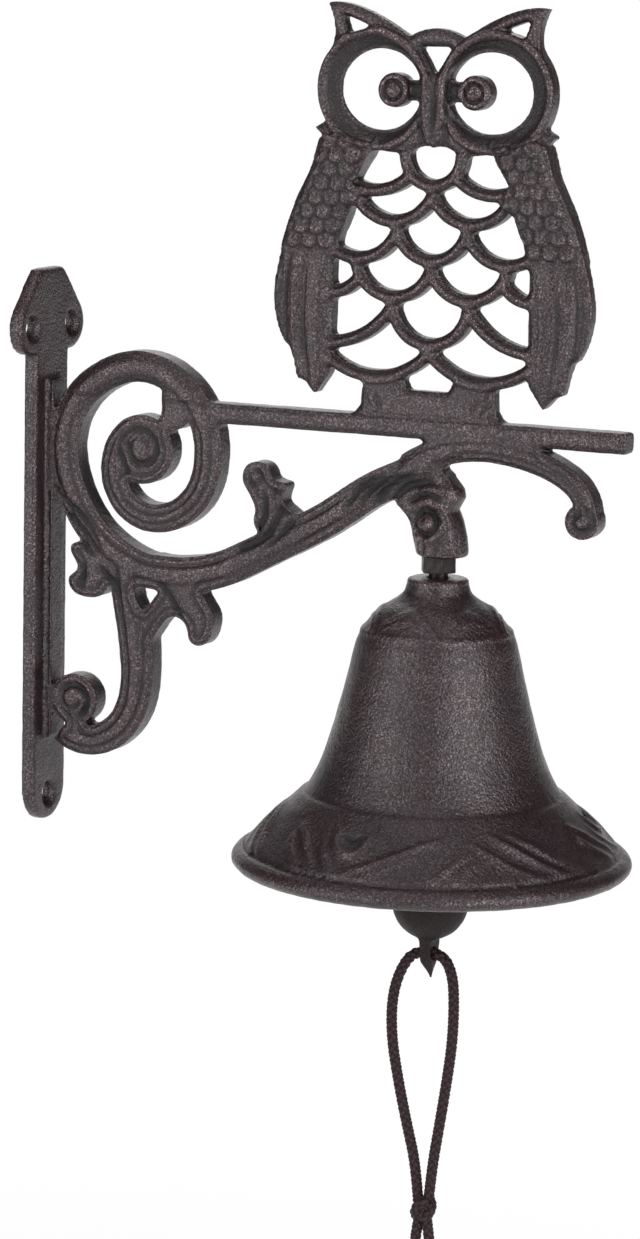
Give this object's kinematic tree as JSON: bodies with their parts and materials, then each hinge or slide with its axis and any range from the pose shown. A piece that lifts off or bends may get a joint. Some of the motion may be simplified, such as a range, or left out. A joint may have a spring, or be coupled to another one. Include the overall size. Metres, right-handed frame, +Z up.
{
  "type": "wall bell",
  "caption": "Cast-iron wall bell: an openwork owl on a perch above a scrolled bracket, with a hanging bell, a swinging clapper and a looped pull cord.",
  "frame": {"origin": "the middle of the wall plate's back face, on the wall", "axes": "+X out from the wall, +Z up, +Y across the bracket's thickness"},
  "size_m": [0.2021, 0.125, 0.3905],
  "materials": {
    "bracket_iron": "rough cast, dark antique brown, satin",
    "bell_iron": "rough cast, dark antique brown, satin",
    "fastener_steel": "dark brown coated steel",
    "cord": "braided, dark maroon brown"
  },
  "bodies": {
    "bracket": {"bracket": "bracket_iron", "eye_bolt": "fastener_steel", "lock_nut": "fastener_steel", "inner_washer": "fastener_steel", "inner_nut": "fastener_steel"},
    "bell": {"bell": "bell_iron"},
    "link": {"clapper_link": "fastener_steel"},
    "clapper": {"clapper": "bell_iron", "pull_cord": "cord", "cord_knot": "cord"}
  },
  "joints": [
    {"name": "bell_turn", "type": "hinge", "parent": "bracket", "child": "bell", "pos_m": [0.1396, 0, 0], "axis": [0, 0, 1], "continuous": true},
    {"name": "link_swing", "type": "hinge", "parent": "bracket", "child": "link", "pos_m": [0.1396, 0, -0.01775], "axis": [0, 1, 0], "range_deg": [-21, 21]},
    {"name": "clapper_swing", "type": "hinge", "parent": "link", "child": "clapper", "pos_m": [0.1396, 0, -0.03235], "axis": [1, 0, 0], "range_deg": [-26, 26]}
  ]
}
